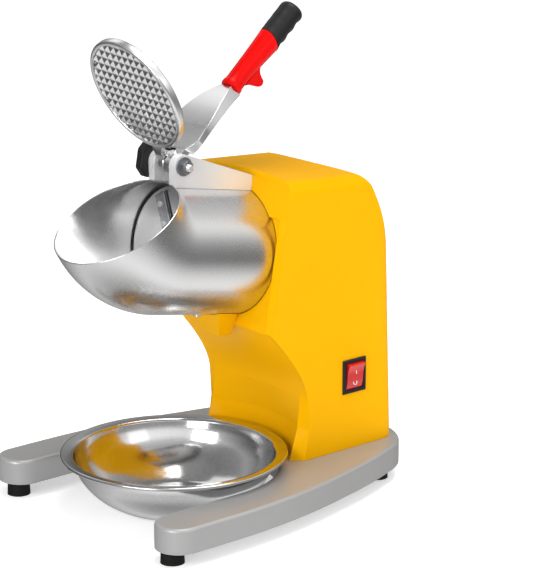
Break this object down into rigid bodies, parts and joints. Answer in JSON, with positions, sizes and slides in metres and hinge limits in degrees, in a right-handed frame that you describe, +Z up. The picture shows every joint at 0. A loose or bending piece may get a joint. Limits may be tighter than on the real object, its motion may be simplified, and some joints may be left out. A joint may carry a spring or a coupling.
{
  "type": "shaved ice machine",
  "caption": "Countertop electric ice shaver: tilted steel hopper on a tall housing, lever-worked press plate, catch bowl between the legs of a cast fork base.",
  "frame": {"origin": "on the table under the middle of the whole machine's footprint, at the height of the feet's undersides", "axes": "+Z up; -Y is the front, where the hopper's mouth and the bowl are; +X is the side with the rocker switch"},
  "size_m": [0.261, 0.3273, 0.4244],
  "materials": {
    "silver_casting": "satin silver coat on a casting",
    "black_rubber": "matte",
    "yellow_shell": "glossy yellow-orange enamel",
    "brushed_stainless": "brushed along its length",
    "mirror_stainless": "polished",
    "cast_aluminium": "satin, cast",
    "bright_steel": "bright zinc or polished steel",
    "blade_steel": "ground edge",
    "motor_steel": "laminated",
    "winding_copper": "enamelled copper wire",
    "red_plastic": "glossy",
    "black_plastic": "fine grain",
    "white_plastic": "smooth",
    "brass_terminal": "bare",
    "switch_red": "translucent gloss"
  },
  "bodies": {
    "machine": {"base_casting": "silver_casting", "foot_front_left": "black_rubber", "foot_front_right": "black_rubber", "foot_rear_left": "black_rubber", "foot_rear_right": "black_rubber", "foot_screws": "bright_steel", "housing_shell": "yellow_shell", "housing_screws": "bright_steel", "rear_cover": "yellow_shell", "rear_cover_screws": "bright_steel", "cord_gland": "black_rubber", "hopper": "brushed_stainless", "hopper_bolt": "bright_steel", "cutter_housing": "cast_aluminium", "flange_screws": "bright_steel", "discharge_chute": "yellow_shell", "front_bearing": "bright_steel", "rear_bearing": "bright_steel", "shaft_seal": "black_rubber", "stator_core": "motor_steel", "stator_windings": "winding_copper", "motor_can": "motor_steel", "motor_front_bell": "cast_aluminium", "motor_rear_bell": "cast_aluminium", "motor_bolts": "bright_steel", "run_capacitor": "black_plastic", "capacitor_clip": "bright_steel", "rocker_frame": "black_plastic", "switch_terminals": "brass_terminal", "pivot_bracket": "bright_steel", "interlock_guard": "black_plastic", "interlock_switch": "black_plastic", "interlock_screws": "bright_steel"},
    "cutter": {"cutter_disc": "cast_aluminium", "cutter_blades": "blade_steel", "blade_screws": "bright_steel", "disc_nut": "bright_steel", "motor_shaft": "bright_steel", "rotor_core": "motor_steel", "cooling_fan": "black_plastic"},
    "lever": {"press_plate": "cast_aluminium", "lever_arm": "cast_aluminium", "grip_red": "red_plastic", "grip_black": "black_plastic", "pivot_bolt": "bright_steel", "hub_screw": "bright_steel", "pivot_nut": "bright_steel", "pivot_washer": "bright_steel", "interlock_cam": "bright_steel"},
    "rocker": {"rocker_button": "switch_red"},
    "bowl": {"bowl": "mirror_stainless"},
    "plunger": {"interlock_plunger": "white_plastic"}
  },
  "joints": [
    {"name": "cutter_spin", "type": "hinge", "parent": "machine", "child": "cutter", "pos_m": [0, -0.06884, 0.2301], "axis": [0, 0.9848, -0.1736], "continuous": true},
    {"name": "lever_hinge", "type": "hinge", "parent": "machine", "child": "lever", "pos_m": [0, -0.0563, 0.3012], "axis": [1, 0, 0], "range_deg": [0, 144]},
    {"name": "rocker_tilt", "type": "hinge", "parent": "machine", "child": "rocker", "pos_m": [0.0667, 0.0926, 0.101], "axis": [0, -1, 0], "range_deg": [0, 16]},
    {"name": "bowl_slide", "type": "slide", "parent": "machine", "child": "bowl", "axis": [0, -1, 0], "range_m": [0, 0.25]},
    {"name": "interlock_slide", "type": "slide", "parent": "machine", "child": "plunger", "axis": [0, 1, 0], "range_m": [0, 0.003]}
  ],
  "couplings": [
    {"joint": "interlock_slide", "follows": "lever_hinge", "m_per_rad": 0.001193}
  ]
}
